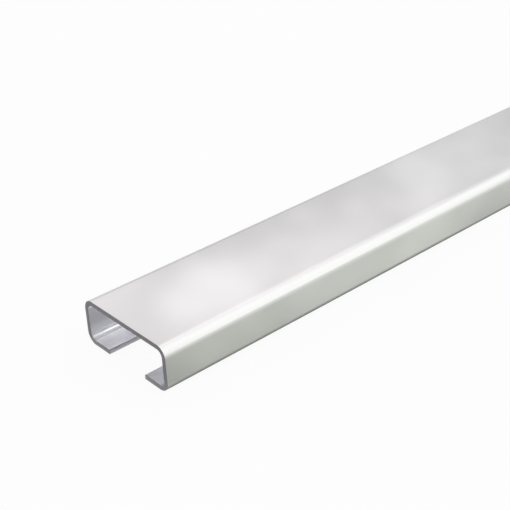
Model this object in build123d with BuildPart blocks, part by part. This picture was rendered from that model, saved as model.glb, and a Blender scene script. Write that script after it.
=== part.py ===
import os

from build123d import *

# C-section mounting rail, cold rolled from one galvanised steel strip.
# It lies slot down on its two lips. Millimetres, X along the rail, Y across it, Z up.
# The origin is on the lips' outer faces, at mid-length and mid-width.

# Section
rail_width = 38.0  # over the two flanges
rail_height = 15.0  # lips' outer faces to the back of the web
strip_thickness = 1.5
slot_width = 17.0  # clear gap between the lips, for clamps of slot width 16 to 17
inside_bend_radius = 2.0
slit_edge_radius = 0.25  # rolled-over corners along the strip's two slit edges

# Stock length
rail_length = 1000.0

# The bends keep the strip's thickness, so both sides of a bend share one centre.
outside_bend_radius = inside_bend_radius + strip_thickness
slot_edge = slot_width / 2
flange_outside = rail_width / 2
flange_inside = flange_outside - strip_thickness
web_outside = rail_height
web_inside = web_outside - strip_thickness
lip_inside = strip_thickness


def c_path(flange, web, lip):
    """Corners of one side of the strip, from the left lip's tip round to the right lip's."""
    return [
        (-slot_edge, lip),
        (-flange, lip),
        (-flange, web),
        (flange, web),
        (flange, lip),
        (slot_edge, lip),
    ]


with BuildPart() as mounting_rail:
    # The section: the strip's outer and inner sides, joined at the two slit edges.
    with BuildSketch(Plane.YZ.offset(-rail_length / 2)) as section:
        with BuildLine():
            outer_side = FilletPolyline(
                *c_path(flange_outside, web_outside, 0), radius=outside_bend_radius
            )
            inner_side = FilletPolyline(
                *c_path(flange_inside, web_inside, lip_inside), radius=inside_bend_radius
            )
            Line(outer_side @ 0, inner_side @ 0)
            Line(outer_side @ 1, inner_side @ 1)
        make_face()
    extrude(amount=rail_length)

    # The four corners along the lips' tips, which are nearest to the slot's middle.
    tip_corners = edges().filter_by(Axis.X).sort_by(lambda edge: abs(edge.center().Y))[:4]
    fillet(tip_corners, radius=slit_edge_radius)

mounting_rail.part.label = "mounting_rail"

os.makedirs("parts", exist_ok=True)
export_step(mounting_rail.part, "parts/mounting_rail.step")
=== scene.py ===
"""Plain C-section mounting rail, rolled from galvanised steel strip.

It lies slot down on a pale floor. Metres, in the CAD model's own frame: X along the rail,
Y across it, Z up from the lips' outer faces.
"""

import math

import bpy
from mathutils import Matrix, Vector


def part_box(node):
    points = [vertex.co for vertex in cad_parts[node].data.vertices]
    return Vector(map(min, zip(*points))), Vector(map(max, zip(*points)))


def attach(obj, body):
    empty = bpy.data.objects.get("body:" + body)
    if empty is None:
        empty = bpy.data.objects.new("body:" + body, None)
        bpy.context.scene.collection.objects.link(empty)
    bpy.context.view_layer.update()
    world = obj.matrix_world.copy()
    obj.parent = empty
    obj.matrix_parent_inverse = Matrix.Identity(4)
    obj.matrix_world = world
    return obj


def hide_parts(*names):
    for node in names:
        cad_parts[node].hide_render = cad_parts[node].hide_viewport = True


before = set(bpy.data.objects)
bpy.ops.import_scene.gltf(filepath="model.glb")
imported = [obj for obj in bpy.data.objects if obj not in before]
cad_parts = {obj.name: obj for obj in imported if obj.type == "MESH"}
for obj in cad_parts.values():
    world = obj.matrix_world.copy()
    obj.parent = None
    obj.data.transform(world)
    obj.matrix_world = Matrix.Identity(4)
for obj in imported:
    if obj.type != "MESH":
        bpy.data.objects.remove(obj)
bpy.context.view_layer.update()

MM = 0.001

# ---------------------------------------------------------------- real sizes

STRIP = 1.5 * MM  # the strip's thickness
SLOT = 17.0 * MM  # clear gap between the two lips
INSIDE_BEND = 2.0 * MM
SLIT_ROUND = 0.25 * MM  # rolled-over corners of the strip's slit edges
END_BREAK = 0.12 * MM  # the saw's sharp edge, taken off at both cut ends

BEND_STEPS = 16  # facets in each quarter bend
SLIT_STEPS = 4
RING_PITCH = 20.0 * MM  # distance between the rail's rings of points


# ---------------------------------------------------------------- the rail's mesh

low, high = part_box("mounting_rail")  # its lowest and highest corners; its middle is at x = y = 0


def strip_section(half_width, height):
    """The strip's two sides across the rail, as rows of (y, z, normal y, normal z).

    The outer and the inner row have the same number of points, each pair square across the strip,
    from the tip of the lip at -Y round the web to the tip of the lip at +Y.
    """
    outside_bend = INSIDE_BEND + STRIP
    bend_y = half_width - outside_bend
    half_strip = STRIP / 2
    outer, inside_shade_mask = [], []

    def tip(side):
        """The slit edge's two rounded corners, from the tip into the lip."""
        for step in range(SLIT_STEPS + 1):
            turn = math.radians(90) * step / SLIT_STEPS
            y = SLOT / 2 + SLIT_ROUND * (1 - math.cos(turn))
            half = half_strip - SLIT_ROUND * (1 - math.sin(turn))
            normal_y, normal_z = -side * math.cos(turn), math.sin(turn)
            yield (
                (side * y, half_strip - half, normal_y, -normal_z),
                (side * y, half_strip + half, normal_y, normal_z),
            )

    for under, over in tip(-1):
        outer.append(under)
        inside_shade_mask.append(over)
    corners = [
        (-bend_y, outside_bend, 270),
        (-bend_y, height - outside_bend, 180),
        (bend_y, height - outside_bend, 90),
        (bend_y, outside_bend, 0),
    ]
    for y, z, start in corners:
        for step in range(BEND_STEPS + 1):
            angle = math.radians(start - 90 * step / BEND_STEPS)
            out_y, out_z = math.cos(angle), math.sin(angle)
            outer.append((y + outside_bend * out_y, z + outside_bend * out_z, out_y, out_z))
            inside_shade_mask.append((y + INSIDE_BEND * out_y, z + INSIDE_BEND * out_z, -out_y, -out_z))
    for under, over in reversed(list(tip(1))):
        outer.append(under)
        inside_shade_mask.append(over)
    return outer, inside_shade_mask


def rail_mesh(name, materials):
    """The whole strip as one closed mesh between the two corners of the CAD box."""
    outer, inside_shade_mask = strip_section((high.y - low.y) / 2, high.z - low.z)
    loop = outer + inside_shade_mask[::-1]
    count, last = len(loop), len(outer) - 1

    inside = [low.x + END_BREAK, high.x - END_BREAK]
    bays = round((inside[1] - inside[0]) / RING_PITCH)
    stations = [(low.x, END_BREAK)]
    stations += [(inside[0] + (inside[1] - inside[0]) * i / bays, 0.0) for i in range(bays + 1)]
    stations += [(high.x, END_BREAK)]

    points, normals = [], []
    for x, inset in stations:
        for y, z, normal_y, normal_z in loop:
            points.append((x, y - inset * normal_y, low.z + z - inset * normal_z))
            if inset:
                normals.append((math.copysign(1, x), 0, 0))
            else:
                normals.append((0, normal_y, normal_z))

    wall, slit, cut = range(3)
    slit_columns = set()
    for first in (0, last - SLIT_STEPS):
        for column in range(first, first + SLIT_STEPS):
            slit_columns |= {column, count - 2 - column}
    slit_columns |= {last, count - 1}

    faces, slots = [], []
    for ring in range(len(stations) - 1):
        at_end = ring in (0, len(stations) - 2)
        for column in range(count):
            a = ring * count + column
            b = ring * count + (column + 1) % count
            faces.append((a, a + count, b + count, b))
            slots.append(cut if at_end else slit if column in slit_columns else wall)
    far = (len(stations) - 1) * count
    for column in range(last):
        a, b = column, column + 1
        c, d = count - 1 - b, count - 1 - a
        faces += [(a, b, c, d), (far + a, far + d, far + c, far + b)]
        slots += [cut, cut]

    mesh = bpy.data.meshes.new(name)
    mesh.from_pydata(points, [], faces)
    for material in materials:
        mesh.materials.append(material)
    mesh.polygons.foreach_set("material_index", slots)
    mesh.polygons.foreach_set("use_smooth", [True] * len(faces))
    mesh.validate()
    mesh.normals_split_custom_set_from_vertices(normals)
    made = bpy.data.objects.new(name, mesh)
    bpy.context.scene.collection.objects.link(made)
    return made


# ---------------------------------------------------------------- materials

WHITE = "#FFFFFF"


def linear(code):
    """An sRGB hex colour as linear RGBA."""
    parts = [int(code[i : i + 2], 16) / 255 for i in (1, 3, 5)]
    return (*[c / 12.92 if c <= 0.04045 else ((c + 0.055) / 1.055) ** 2.4 for c in parts], 1.0)


def per_metre(size):
    """The scale of a noise whose features are that large."""
    return 1 / size


def add(tree, kind, inputs=None, **options):
    """Adds one node with its options, and each input's value or the socket it is linked from."""
    made = tree.nodes.new(kind)
    for name, value in options.items():
        setattr(made, name, value)
    for socket, value in (inputs or {}).items():
        if isinstance(value, bpy.types.NodeSocket):
            tree.links.new(value, made.inputs[socket])
        else:
            made.inputs[socket].default_value = value
    return made


def new_material(name):
    material = bpy.data.materials.new(name)
    material.use_nodes = True
    material.node_tree.nodes.clear()
    return material, material.node_tree


ZINC_METAL = 0.85  # the zinc's oxide film scatters the rest, so it isn't wholly metal to the eye
ZINC_DARK = "#CECECE"
ZINC_LIGHT = "#F4F4F4"
# Painted highlight: near-white zinc for the bends and the lips, below.
ZINC_PAINTED_HIGHLIGHT = "#FDFDFD"
CLOUDS = [  # the zinc's soft clouds: width, length to width, turn in degrees, shift, strength
    (42 * MM, 1.5, 55, (0.8087, 2.4669, -4.0235), 1.01),
    (19 * MM, 2.0, 40, (-1.7604, -1.0712, -1.8119), 0.20),
    (11 * MM, 1.5, 55, (-0.6049, 0.1031, 0.0150), 0.13),
]
CLOUD_RANGE = 0.384, 0.914  # the clouds' sum at the darkest and the lightest zinc
# Painted shade: the darker bluish grey of the flanges' inner faces, inside the channel.
ZINC_INSIDE_SHADE = "#C6C7CB"
HIGHLIGHT_SHARE = 0.95  # how far the zinc is painted near white on the bends and the lips: a painted highlight
HIGHLIGHT_SIDE = 3.1 * MM, 2.0 * MM  # where that starts and is full, in from a flange's outside
HIGHLIGHT_HEIGHT = 3.7 * MM, 2.1 * MM  # and in from the outside of the web and of the lips
INSIDE_SHADE = 0.7  # how far the flanges' inner faces are painted the darker grey: painted shade inside the channel
INSIDE_SHADE_HEIGHT = 3.5 * MM, 7.0 * MM  # where that starts and is full, up from the lips' outside
ZINC_ROUGH = 0.22, 0.265
LIP_ROUGHER = 0.057  # the lips, which the rolls press least, are a little rougher
LIP_HEIGHT = 1.1 * STRIP  # just over both faces of a lip
WAVE_SIZE, WAVE_STRETCH = 42 * MM, 0.55  # the strip's slight waves, left by its levelling
WAVE_DEPTH = 0.15 * MM
GRAIN_SIZE = 0.55 * MM  # the skin-rolled zinc's grain; really finer, drawn as coarse as shows
LINE_SIZE, LINE_STRETCH = 0.7 * MM, 0.02  # faint lines that the forming rolls leave along the rail
SPECKLE_RANGE = 0.7, 1.3  # the sum of grain and lines, from the smoothest to the roughest zinc
SPECKLE_DEPTH = 0.004 * MM


def strip_galvanised_steel():
    """Strip-galvanised steel: zinc from a hot bath, skin-rolled flat, then rolled into the section.

    It gives the eye a pale satin metal with soft clouds and no large crystals.
    """
    material, tree = new_material("strip_galvanised_steel")
    place = add(tree, "ShaderNodeTexCoord").outputs["Object"]
    along, drawn = [
        add(tree, "ShaderNodeMapping", {"Vector": place, "Scale": (stretch, 1, 1)}).outputs[0]
        for stretch in (WAVE_STRETCH, LINE_STRETCH)
    ]
    clouds = 0.0
    for width, stretch, turn, start, strength in CLOUDS:
        turned = add(
            tree,
            "ShaderNodeMapping",
            {
                "Vector": place,
                "Location": start,
                "Rotation": (0, 0, math.radians(turn)),
                "Scale": (stretch, 1, 1),
            },
            vector_type="TEXTURE",
        ).outputs[0]
        layer = add(
            tree,
            "ShaderNodeTexNoise",
            {"Vector": turned, "Scale": per_metre(width), "Detail": 0.0},
        ).outputs["Fac"]
        clouds = add(
            tree, "ShaderNodeMath", {0: layer, 1: strength, 2: clouds}, operation="MULTIPLY_ADD"
        ).outputs[0]
    waves = add(
        tree,
        "ShaderNodeTexNoise",
        {"Vector": along, "Scale": per_metre(WAVE_SIZE), "Detail": 1.0, "Roughness": 0.4},
    ).outputs["Fac"]
    grain = add(
        tree,
        "ShaderNodeTexNoise",
        {"Vector": place, "Scale": per_metre(GRAIN_SIZE), "Detail": 2.0, "Roughness": 0.6},
    ).outputs["Fac"]
    lines = add(
        tree,
        "ShaderNodeTexNoise",
        {"Vector": drawn, "Scale": per_metre(LINE_SIZE), "Detail": 3.0, "Roughness": 0.6},
    ).outputs["Fac"]
    tone = add(
        tree,
        "ShaderNodeMapRange",
        {"Value": clouds, "From Min": CLOUD_RANGE[0], "From Max": CLOUD_RANGE[1]},
        interpolation_type="SMOOTHSTEP",
    ).outputs[0]
    axes = add(tree, "ShaderNodeSeparateXYZ", {0: place}).outputs
    off_y = add(tree, "ShaderNodeMath", {0: axes["Y"]}, operation="ABSOLUTE").outputs[0]
    off_z = add(
        tree, "ShaderNodeMath", {0: axes["Z"], 1: (low.z + high.z) / 2}, operation="SUBTRACT"
    ).outputs[0]
    off_z = add(tree, "ShaderNodeMath", {0: off_z}, operation="ABSOLUTE").outputs[0]
    half_height = (high.z - low.z) / 2
    (starts_y, full_y), (starts_z, full_z) = HIGHLIGHT_SIDE, HIGHLIGHT_HEIGHT
    at_side, at_height, above_lip, below_web = [
        add(
            tree,
            "ShaderNodeMapRange",
            {"Value": read, "From Min": start, "From Max": full, "To Max": strength},
            interpolation_type="SMOOTHSTEP",
        ).outputs[0]
        for read, start, full, strength in (
            (off_y, high.y - starts_y, high.y - full_y, 1.0),
            (off_z, half_height - starts_z, half_height - full_z, HIGHLIGHT_SHARE),
            (axes["Z"], low.z + INSIDE_SHADE_HEIGHT[0], low.z + INSIDE_SHADE_HEIGHT[1], INSIDE_SHADE),
            (off_z, half_height - full_z, half_height - starts_z, 1.0),
        )
    ]
    # Painted highlight: the zinc is made near white over the top bends and, at the bottom, over the
    # lower bends and the lips.
    lower = add(
        tree, "ShaderNodeMath", {0: axes["Z"], 1: (low.z + high.z) / 2}, operation="LESS_THAN"
    ).outputs[0]
    painted_highlight = add(tree, "ShaderNodeMath", {0: at_side, 1: lower}, operation="MAXIMUM").outputs[0]
    painted_highlight = add(tree, "ShaderNodeMath", {0: painted_highlight, 1: at_height}, operation="MULTIPLY").outputs[0]
    colour = add(
        tree,
        "ShaderNodeMix",
        {0: tone, 6: linear(ZINC_DARK), 7: linear(ZINC_LIGHT)},
        data_type="RGBA",
    ).outputs[2]
    colour = add(
        tree, "ShaderNodeMix", {0: painted_highlight, 6: colour, 7: linear(ZINC_PAINTED_HIGHLIGHT)}, data_type="RGBA"
    ).outputs[2]
    # Painted shade: the flanges' inner faces, inside the channel, get the darker bluish grey.
    inside_shade_mask = add(
        tree, "ShaderNodeMath", {0: off_y, 1: high.y - STRIP / 2}, operation="LESS_THAN"
    ).outputs[0]
    for mask in (above_lip, below_web):
        inside_shade_mask = add(tree, "ShaderNodeMath", {0: inside_shade_mask, 1: mask}, operation="MULTIPLY").outputs[0]
    colour = add(
        tree, "ShaderNodeMix", {0: inside_shade_mask, 6: colour, 7: linear(ZINC_INSIDE_SHADE)}, data_type="RGBA"
    ).outputs[2]
    speckle = add(tree, "ShaderNodeMath", {0: grain, 1: lines}, operation="ADD").outputs[0]
    rough = add(
        tree,
        "ShaderNodeMapRange",
        {
            "Value": speckle,
            "From Min": SPECKLE_RANGE[0],
            "From Max": SPECKLE_RANGE[1],
            "To Min": ZINC_ROUGH[0],
            "To Max": ZINC_ROUGH[1],
        },
    ).outputs[0]
    on_lip = add(
        tree, "ShaderNodeMath", {0: axes["Z"], 1: low.z + LIP_HEIGHT}, operation="LESS_THAN"
    ).outputs[0]
    inward = add(
        tree, "ShaderNodeMath", {0: off_y, 1: high.y - INSIDE_BEND - STRIP}, operation="LESS_THAN"
    ).outputs[0]
    on_lip = add(tree, "ShaderNodeMath", {0: on_lip, 1: inward}, operation="MULTIPLY").outputs[0]
    rough = add(
        tree, "ShaderNodeMath", {0: on_lip, 1: LIP_ROUGHER, 2: rough}, operation="MULTIPLY_ADD"
    ).outputs[0]
    swell = add(
        tree, "ShaderNodeBump", {"Height": waves, "Strength": 1.0, "Distance": WAVE_DEPTH}
    ).outputs[0]
    bump = add(
        tree,
        "ShaderNodeBump",
        {"Height": speckle, "Strength": 1.0, "Distance": SPECKLE_DEPTH, "Normal": swell},
    ).outputs[0]
    surface = add(
        tree,
        "ShaderNodeBsdfPrincipled",
        {"Base Color": colour, "Metallic": ZINC_METAL, "Roughness": rough, "Normal": bump},
    ).outputs[0]
    add(tree, "ShaderNodeOutputMaterial", {"Surface": surface})
    return material


SHEAR_DARK = "#8F8D8F"
SHEAR_LIGHT = "#B4B2B4"
SHEAR_ROUGH = 0.36, 0.52
SHEAR_SIZE, SHEAR_STRETCH = 0.18 * MM, 0.15  # the knife's fine lines across the strip's edge
SHEAR_DEPTH = 0.012 * MM


def slit_strip_edge():
    """The strip's slit edge: steel sheared by rotary knives.

    It gives the eye a dull grey strip with fine lines across it.
    """
    material, tree = new_material("slit_strip_edge")
    place = add(tree, "ShaderNodeTexCoord").outputs["Object"]
    across = add(
        tree, "ShaderNodeMapping", {"Vector": place, "Scale": (1, 1, SHEAR_STRETCH)}
    ).outputs[0]
    shear = add(
        tree,
        "ShaderNodeTexNoise",
        {"Vector": across, "Scale": per_metre(SHEAR_SIZE), "Detail": 2.0, "Roughness": 0.55},
    ).outputs["Fac"]
    colour = add(
        tree,
        "ShaderNodeMix",
        {0: shear, 6: linear(SHEAR_DARK), 7: linear(SHEAR_LIGHT)},
        data_type="RGBA",
    ).outputs[2]
    rough = add(
        tree,
        "ShaderNodeMapRange",
        {"Value": shear, "To Min": SHEAR_ROUGH[0], "To Max": SHEAR_ROUGH[1]},
    ).outputs[0]
    bump = add(
        tree, "ShaderNodeBump", {"Height": shear, "Strength": 1.0, "Distance": SHEAR_DEPTH}
    ).outputs[0]
    surface = add(
        tree,
        "ShaderNodeBsdfPrincipled",
        {"Base Color": colour, "Metallic": 1.0, "Roughness": rough, "Normal": bump},
    ).outputs[0]
    add(tree, "ShaderNodeOutputMaterial", {"Surface": surface})
    return material


SAWN_DARK = "#787578"
SAWN_LIGHT = "#9B989C"
SAWN_ROUGH = 0.40, 0.58
SAW_SIZE, SAW_STRETCH = 0.3 * MM, 0.12  # upright saw lines; really finer, drawn as coarse as shows
SAW_DEPTH = 0.02 * MM


def sawn_steel_end():
    """The cut end: bare steel, sawn square.

    It gives the eye a grey darker than the zinc, with fine upright lines.
    """
    material, tree = new_material("sawn_steel_end")
    place = add(tree, "ShaderNodeTexCoord").outputs["Object"]
    upright = add(
        tree, "ShaderNodeMapping", {"Vector": place, "Scale": (1, 1, SAW_STRETCH)}
    ).outputs[0]
    saw = add(
        tree,
        "ShaderNodeTexNoise",
        {"Vector": upright, "Scale": per_metre(SAW_SIZE), "Detail": 3.0, "Roughness": 0.6},
    ).outputs["Fac"]
    colour = add(
        tree,
        "ShaderNodeMix",
        {0: saw, 6: linear(SAWN_DARK), 7: linear(SAWN_LIGHT)},
        data_type="RGBA",
    ).outputs[2]
    rough = add(
        tree,
        "ShaderNodeMapRange",
        {"Value": saw, "To Min": SAWN_ROUGH[0], "To Max": SAWN_ROUGH[1]},
    ).outputs[0]
    bump = add(
        tree, "ShaderNodeBump", {"Height": saw, "Strength": 1.0, "Distance": SAW_DEPTH}
    ).outputs[0]
    surface = add(
        tree,
        "ShaderNodeBsdfPrincipled",
        {"Base Color": colour, "Metallic": 1.0, "Roughness": rough, "Normal": bump},
    ).outputs[0]
    add(tree, "ShaderNodeOutputMaterial", {"Surface": surface})
    return material


rail = rail_mesh("rolled_rail", [strip_galvanised_steel(), slit_strip_edge(), sawn_steel_end()])
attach(rail, "root")
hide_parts("mounting_rail")

# ---------------------------------------------------------------- floor

FLOOR_HALF = 40.0
PAPER = "#F7F7F7"
PAPER_SEEN = 0.93  # share of plain white that the camera sees on the paper

# Painted shade along each side of the rail: a grey that only the metal mirrors, in place of the
# paper, standing in for the paper's shade beside the rail.
MIRRORED_SHADE = "#DADDD4"
MIRRORED_SHADE_FAR = "#EEF1E9"  # the paler painted shade that it reaches 78 mm behind the cut ends
MIRRORED_SHADOW = "#90938D"  # painted shadow, close under the rail's bends

# Glowing sheets of painted light, beside the paper's own shade. Only the metal mirrors them. Plain
# white is 1.
GLOW = "#F8F8FF"
SLOT_GLOW = 4.1  # under the slot, from some way behind the cut ends, full on its -Y side
SLIT_GLOW = 0.8  # along the lips' slit edges
END_GLOW = 0.6  # close before the cut ends
END_GAP = 1.2 * MM  # from a cut end to the middle of its sheet


def white_paper():
    """A studio's white paper floor, which fades to plain white but keeps the rail's shadow.

    The metal mirrors it too, with painted shade along each side of the rail and glowing sheets of
    painted light under the slot and the ends, which only the metal sees.
    """
    material, tree = new_material("white_paper")
    seen = add(tree, "ShaderNodeLightPath").outputs
    mirrored = add(
        tree,
        "ShaderNodeMath",
        {0: seen["Is Glossy Ray"], 1: seen["Is Transmission Ray"]},
        operation="MAXIMUM",
    ).outputs[0]
    place = add(tree, "ShaderNodeTexCoord").outputs["Object"]
    place = add(tree, "ShaderNodeSeparateXYZ", {0: place}).outputs
    off_x = add(tree, "ShaderNodeMath", {0: place["X"]}, operation="ABSOLUTE").outputs[0]
    off_y = add(tree, "ShaderNodeMath", {0: place["Y"]}, operation="ABSOLUTE").outputs[0]
    off_end = add(
        tree, "ShaderNodeMath", {0: off_x, 1: high.x + END_GAP}, operation="SUBTRACT"
    ).outputs[0]
    off_end = add(tree, "ShaderNodeMath", {0: off_end}, operation="ABSOLUTE").outputs[0]
    slot_edge = SLOT / 2
    zones = {  # what each is read along, where it starts, where it is full, its strength there
        "shade length": (off_x, high.x + 1 * MM, high.x, 1.0),
        "shade side": (off_y, high.y - 7 * MM, high.y - 3 * MM, 1.0),
        "shade far": (off_x, high.x, high.x - 78 * MM, 1.0),
        "shadow edge": (off_y, high.y - 0.5 * MM, high.y + 2.5 * MM, 1.0),
        "slot width": (off_y, slot_edge + 3.5 * MM, slot_edge + 0.5 * MM, 1.0),
        "slot length": (off_x, high.x, high.x - 1 * MM, 1.0),
        "slot glow": (off_x, high.x - 12 * MM, high.x - 19 * MM, SLOT_GLOW),
        "slot side": (place["Y"], slot_edge + 3.5 * MM, -slot_edge - 1.5 * MM, 1.0),
        "slit glow": (off_y, slot_edge - 2 * MM, slot_edge - 1 * MM, SLIT_GLOW),
        "end width": (off_y, high.y + 3 * MM, high.y, 1.0),
        "end glow": (off_end, 1.6 * MM, 0.8 * MM, END_GLOW),
    }
    masks = {
        name: add(
            tree,
            "ShaderNodeMapRange",
            {"Value": read, "From Min": start, "From Max": full, "To Max": strength},
            interpolation_type="SMOOTHSTEP",
        ).outputs[0]
        for name, (read, start, full, strength) in zones.items()
    }
    at_end = add(
        tree,
        "ShaderNodeMath",
        {0: masks["end glow"], 1: masks["end width"]},
        operation="MULTIPLY",
    ).outputs[0]
    glow = masks["slot glow"]
    for mask, operation in (
        (masks["slot side"], "MULTIPLY"),
        (masks["slit glow"], "MAXIMUM"),
        (masks["slot width"], "MULTIPLY"),
        (masks["slot length"], "MULTIPLY"),
        (at_end, "MAXIMUM"),
        (mirrored, "MULTIPLY"),
    ):
        glow = add(tree, "ShaderNodeMath", {0: glow, 1: mask}, operation=operation).outputs[0]
    # Painted shade beside the rail and painted shadow under its bends, which only the metal
    # mirrors.
    mirrored_shade_tone = add(
        tree,
        "ShaderNodeMix",
        {0: masks["shade far"], 6: linear(MIRRORED_SHADE), 7: linear(MIRRORED_SHADE_FAR)},
        data_type="RGBA",
    ).outputs[2]
    mirrored_shade_tone = add(
        tree,
        "ShaderNodeMix",
        {0: masks["shadow edge"], 6: linear(MIRRORED_SHADOW), 7: mirrored_shade_tone},
        data_type="RGBA",
    ).outputs[2]
    mirrored_shade_mask = mirrored
    for name in ("shade length", "shade side"):
        mirrored_shade_mask = add(
            tree, "ShaderNodeMath", {0: mirrored_shade_mask, 1: masks[name]}, operation="MULTIPLY"
        ).outputs[0]
    tone = add(
        tree, "ShaderNodeMix", {0: mirrored_shade_mask, 6: linear(PAPER), 7: mirrored_shade_tone}, data_type="RGBA"
    ).outputs[2]
    paper = add(tree, "ShaderNodeBsdfDiffuse", {"Color": tone}).outputs[0]
    white = add(tree, "ShaderNodeEmission", {"Color": linear(WHITE), "Strength": 1.0}).outputs[0]
    share = add(
        tree, "ShaderNodeMath", {0: seen["Is Camera Ray"], 1: PAPER_SEEN}, operation="MULTIPLY"
    ).outputs[0]
    surface = add(tree, "ShaderNodeMixShader", {0: share, 1: paper, 2: white}).outputs[0]
    # Painted light: glowing sheets that only the metal mirrors.
    mirrored_glow = add(tree, "ShaderNodeEmission", {"Color": linear(GLOW), "Strength": glow}).outputs[0]
    surface = add(tree, "ShaderNodeAddShader", {0: surface, 1: mirrored_glow}).outputs[0]
    add(tree, "ShaderNodeOutputMaterial", {"Surface": surface})
    return material


floor_mesh = bpy.data.meshes.new("floor")
floor_mesh.from_pydata(
    [(x * FLOOR_HALF, y * FLOOR_HALF, low.z) for x, y in ((-1, -1), (1, -1), (1, 1), (-1, 1))],
    [],
    [(0, 1, 2, 3)],
)
floor_mesh.materials.append(white_paper())
floor = bpy.data.objects.new("floor", floor_mesh)
bpy.context.scene.collection.objects.link(floor)

# ---------------------------------------------------------------- light

# Soft patches of light on the studio's walls and ceiling: the direction of each, the angles from
# it, in degrees, at which the patch is full and gone, its brightness beside the room's, its colour.
PATCHES = [
    ((0.411, 0.495, 0.766), 16, 27, 0.475, "#FFF5F9"),
    ((0.544, -0.488, 0.682), 3, 47, 0.35, "#FFFFFB"),
    ((0.580, -0.799, 0.158), 3, 11, 0.30, WHITE),
]
ROOM = 0.705  # the studio's even brightness

world = bpy.data.worlds.new("studio")
bpy.context.scene.world = world
world.use_nodes = True
tree = world.node_tree
tree.nodes.clear()
toward = add(tree, "ShaderNodeTexCoord").outputs["Generated"]
light = add(tree, "ShaderNodeBackground", {"Color": linear(WHITE), "Strength": ROOM}).outputs[0]
for axis, full, gone, brightness, colour in PATCHES:
    across = add(
        tree,
        "ShaderNodeVectorMath",
        {0: toward, 1: Vector(axis).normalized()},
        operation="DOT_PRODUCT",
    ).outputs["Value"]
    strength = add(
        tree,
        "ShaderNodeMapRange",
        {
            "Value": across,
            "From Min": math.cos(math.radians(gone)),
            "From Max": math.cos(math.radians(full)),
            "To Max": brightness,
        },
        interpolation_type="SMOOTHSTEP",
    ).outputs[0]
    patch = add(
        tree, "ShaderNodeBackground", {"Color": linear(colour), "Strength": strength}
    ).outputs[0]
    light = add(tree, "ShaderNodeAddShader", {0: light, 1: patch}).outputs[0]
white = add(tree, "ShaderNodeBackground", {"Color": linear(WHITE), "Strength": 1.0}).outputs[0]
camera_ray = add(tree, "ShaderNodeLightPath").outputs["Is Camera Ray"]
surface = add(tree, "ShaderNodeMixShader", {0: camera_ray, 1: light, 2: white}).outputs[0]
add(tree, "ShaderNodeOutputWorld", {"Surface": surface})

# ---------------------------------------------------------------- camera

# Fitted to the photo's edges of this section, with the view's centre in the middle of the picture.
PICTURE_PIXELS = 510
FOCAL_PIXELS = 1158.0
CAMERA_PLACE = -0.64814, -0.23189, 0.19118
CAMERA_TURN = (  # its columns are the picture's right, its top and the way back from the object
    (0.74468, 0.35774, -0.56345),
    (-0.66623, 0.34803, -0.65956),
    (-0.03985, 0.86655, 0.49750),
)
SENSOR_WIDTH = 36.0  # millimetres
NEAREST, FARTHEST = 0.01, 200.0

camera_data = bpy.data.cameras.new("camera")
camera_data.sensor_width = SENSOR_WIDTH
camera_data.lens = FOCAL_PIXELS * SENSOR_WIDTH / PICTURE_PIXELS
camera_data.clip_start = NEAREST
camera_data.clip_end = FARTHEST
camera = bpy.data.objects.new("camera", camera_data)
camera.matrix_world = Matrix.Translation(CAMERA_PLACE) @ Matrix(CAMERA_TURN).to_4x4()
bpy.context.scene.collection.objects.link(camera)
bpy.context.scene.camera = camera
bpy.context.scene.view_settings.view_transform = "Standard"
